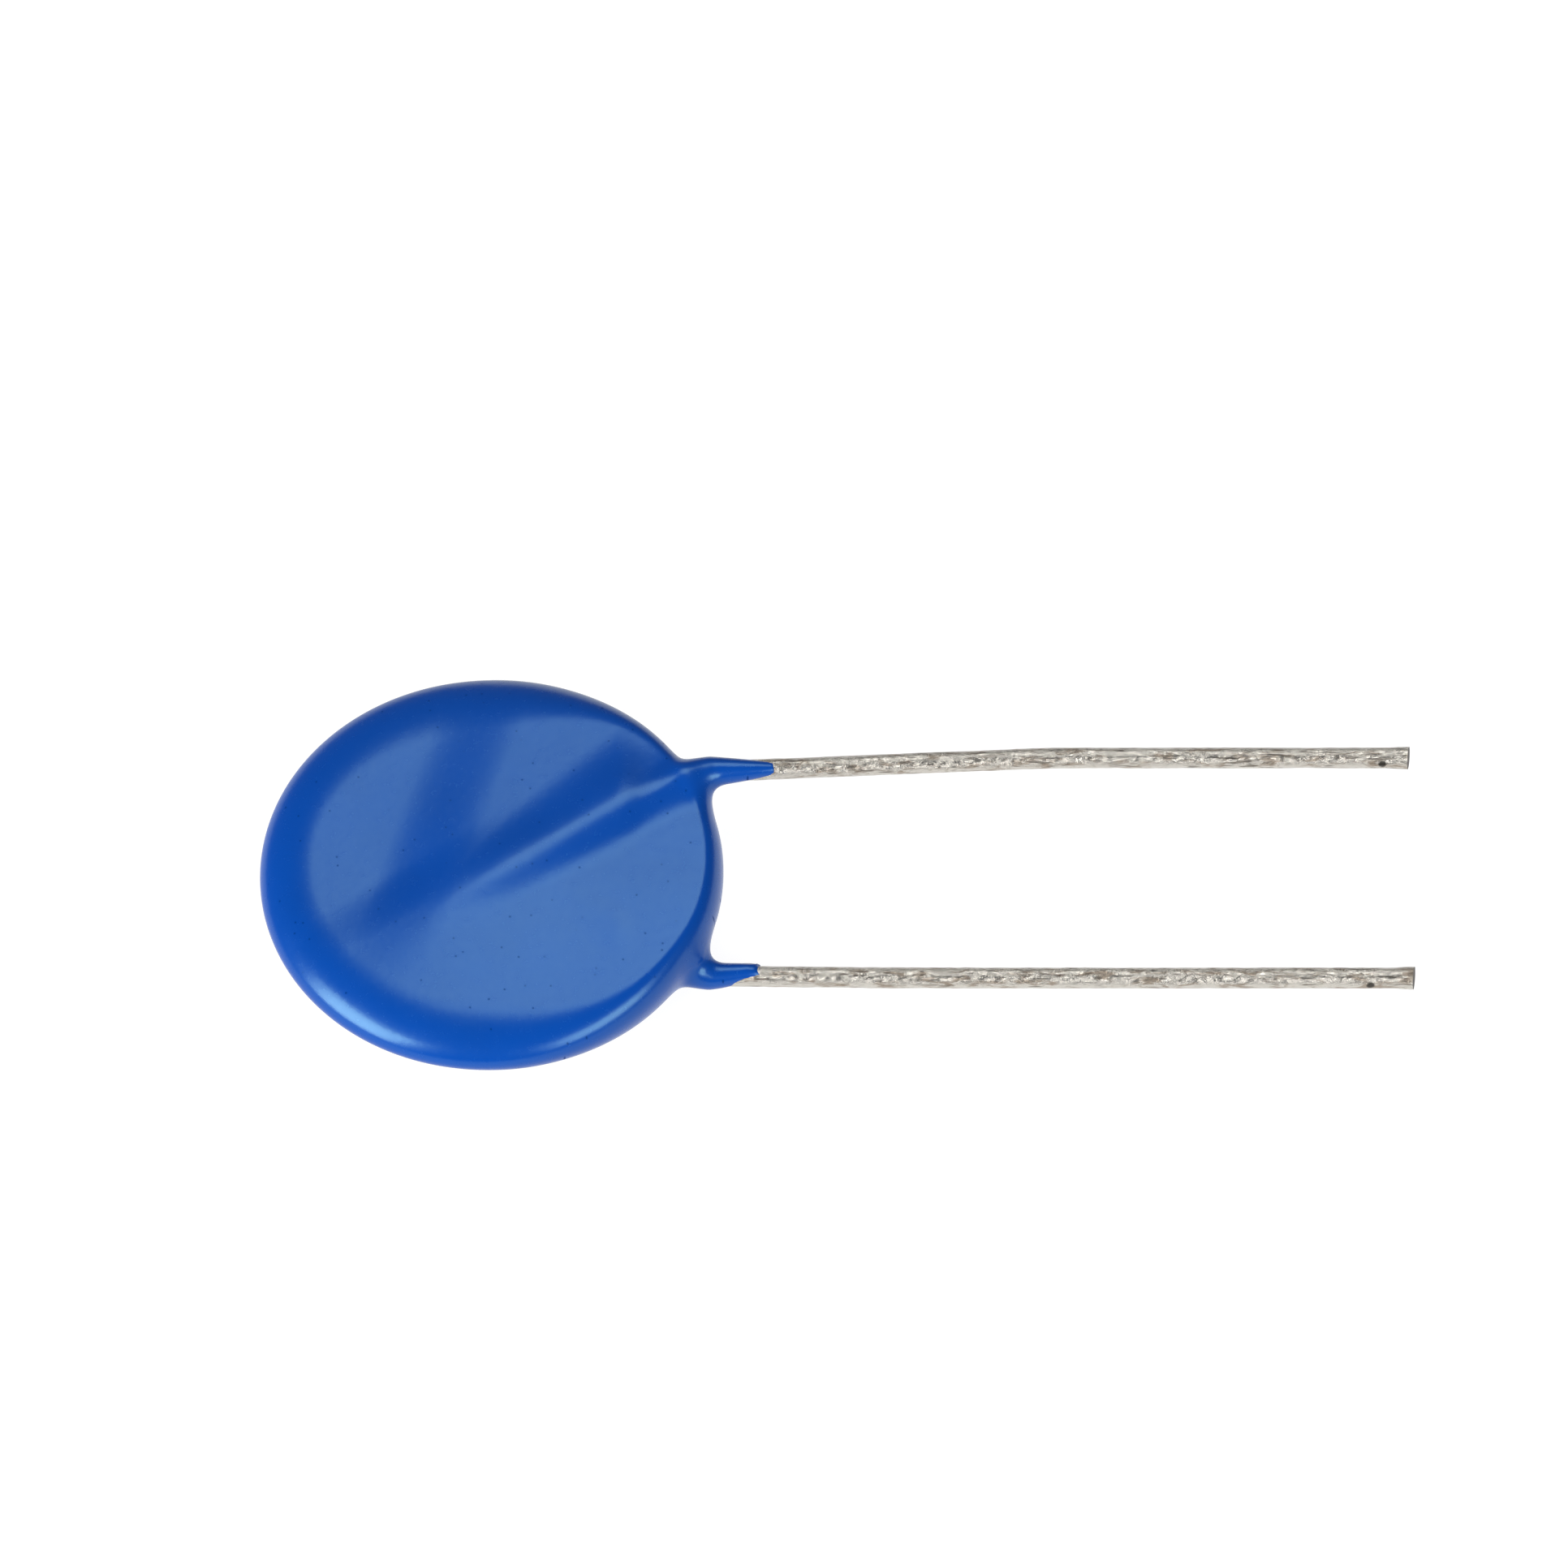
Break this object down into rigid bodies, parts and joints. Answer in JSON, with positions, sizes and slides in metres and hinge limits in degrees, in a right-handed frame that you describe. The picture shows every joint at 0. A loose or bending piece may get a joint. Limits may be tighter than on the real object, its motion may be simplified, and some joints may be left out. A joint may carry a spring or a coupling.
{
  "type": "metal oxide varistor",
  "caption": "Round disc surge protector in a glossy blue epoxy coat, with a raised ridge across the face and a pair of parallel tinned wire leads leaving one side of the rim.",
  "frame": {"origin": "middle of the part's bounding box, on the surface that it lies on", "axes": "+X along the leads, away from the disc; +Y from the back lead towards the front lead; +Z along the disc's axis, up out of the face with the front lead"},
  "size_m": [0.0542, 0.0214, 0.0042],
  "materials": {
    "zinc_oxide": "sintered, matt dark grey",
    "fired_silver": "fired silver, satin",
    "solder": "tin solder, dull bright",
    "tinned_wire": "hot tinned copper wire, bright with dull streaks",
    "blue_epoxy": "glossy dipped epoxy, slightly uneven"
  },
  "bodies": {
    "root": {"ceramic_disc": "zinc_oxide", "electrode_front": "fired_silver", "electrode_back": "fired_silver", "solder_front": "solder", "solder_back": "solder", "lead_front": "tinned_wire", "lead_back": "tinned_wire", "epoxy_coat": "blue_epoxy"}
  },
  "joints": []
}
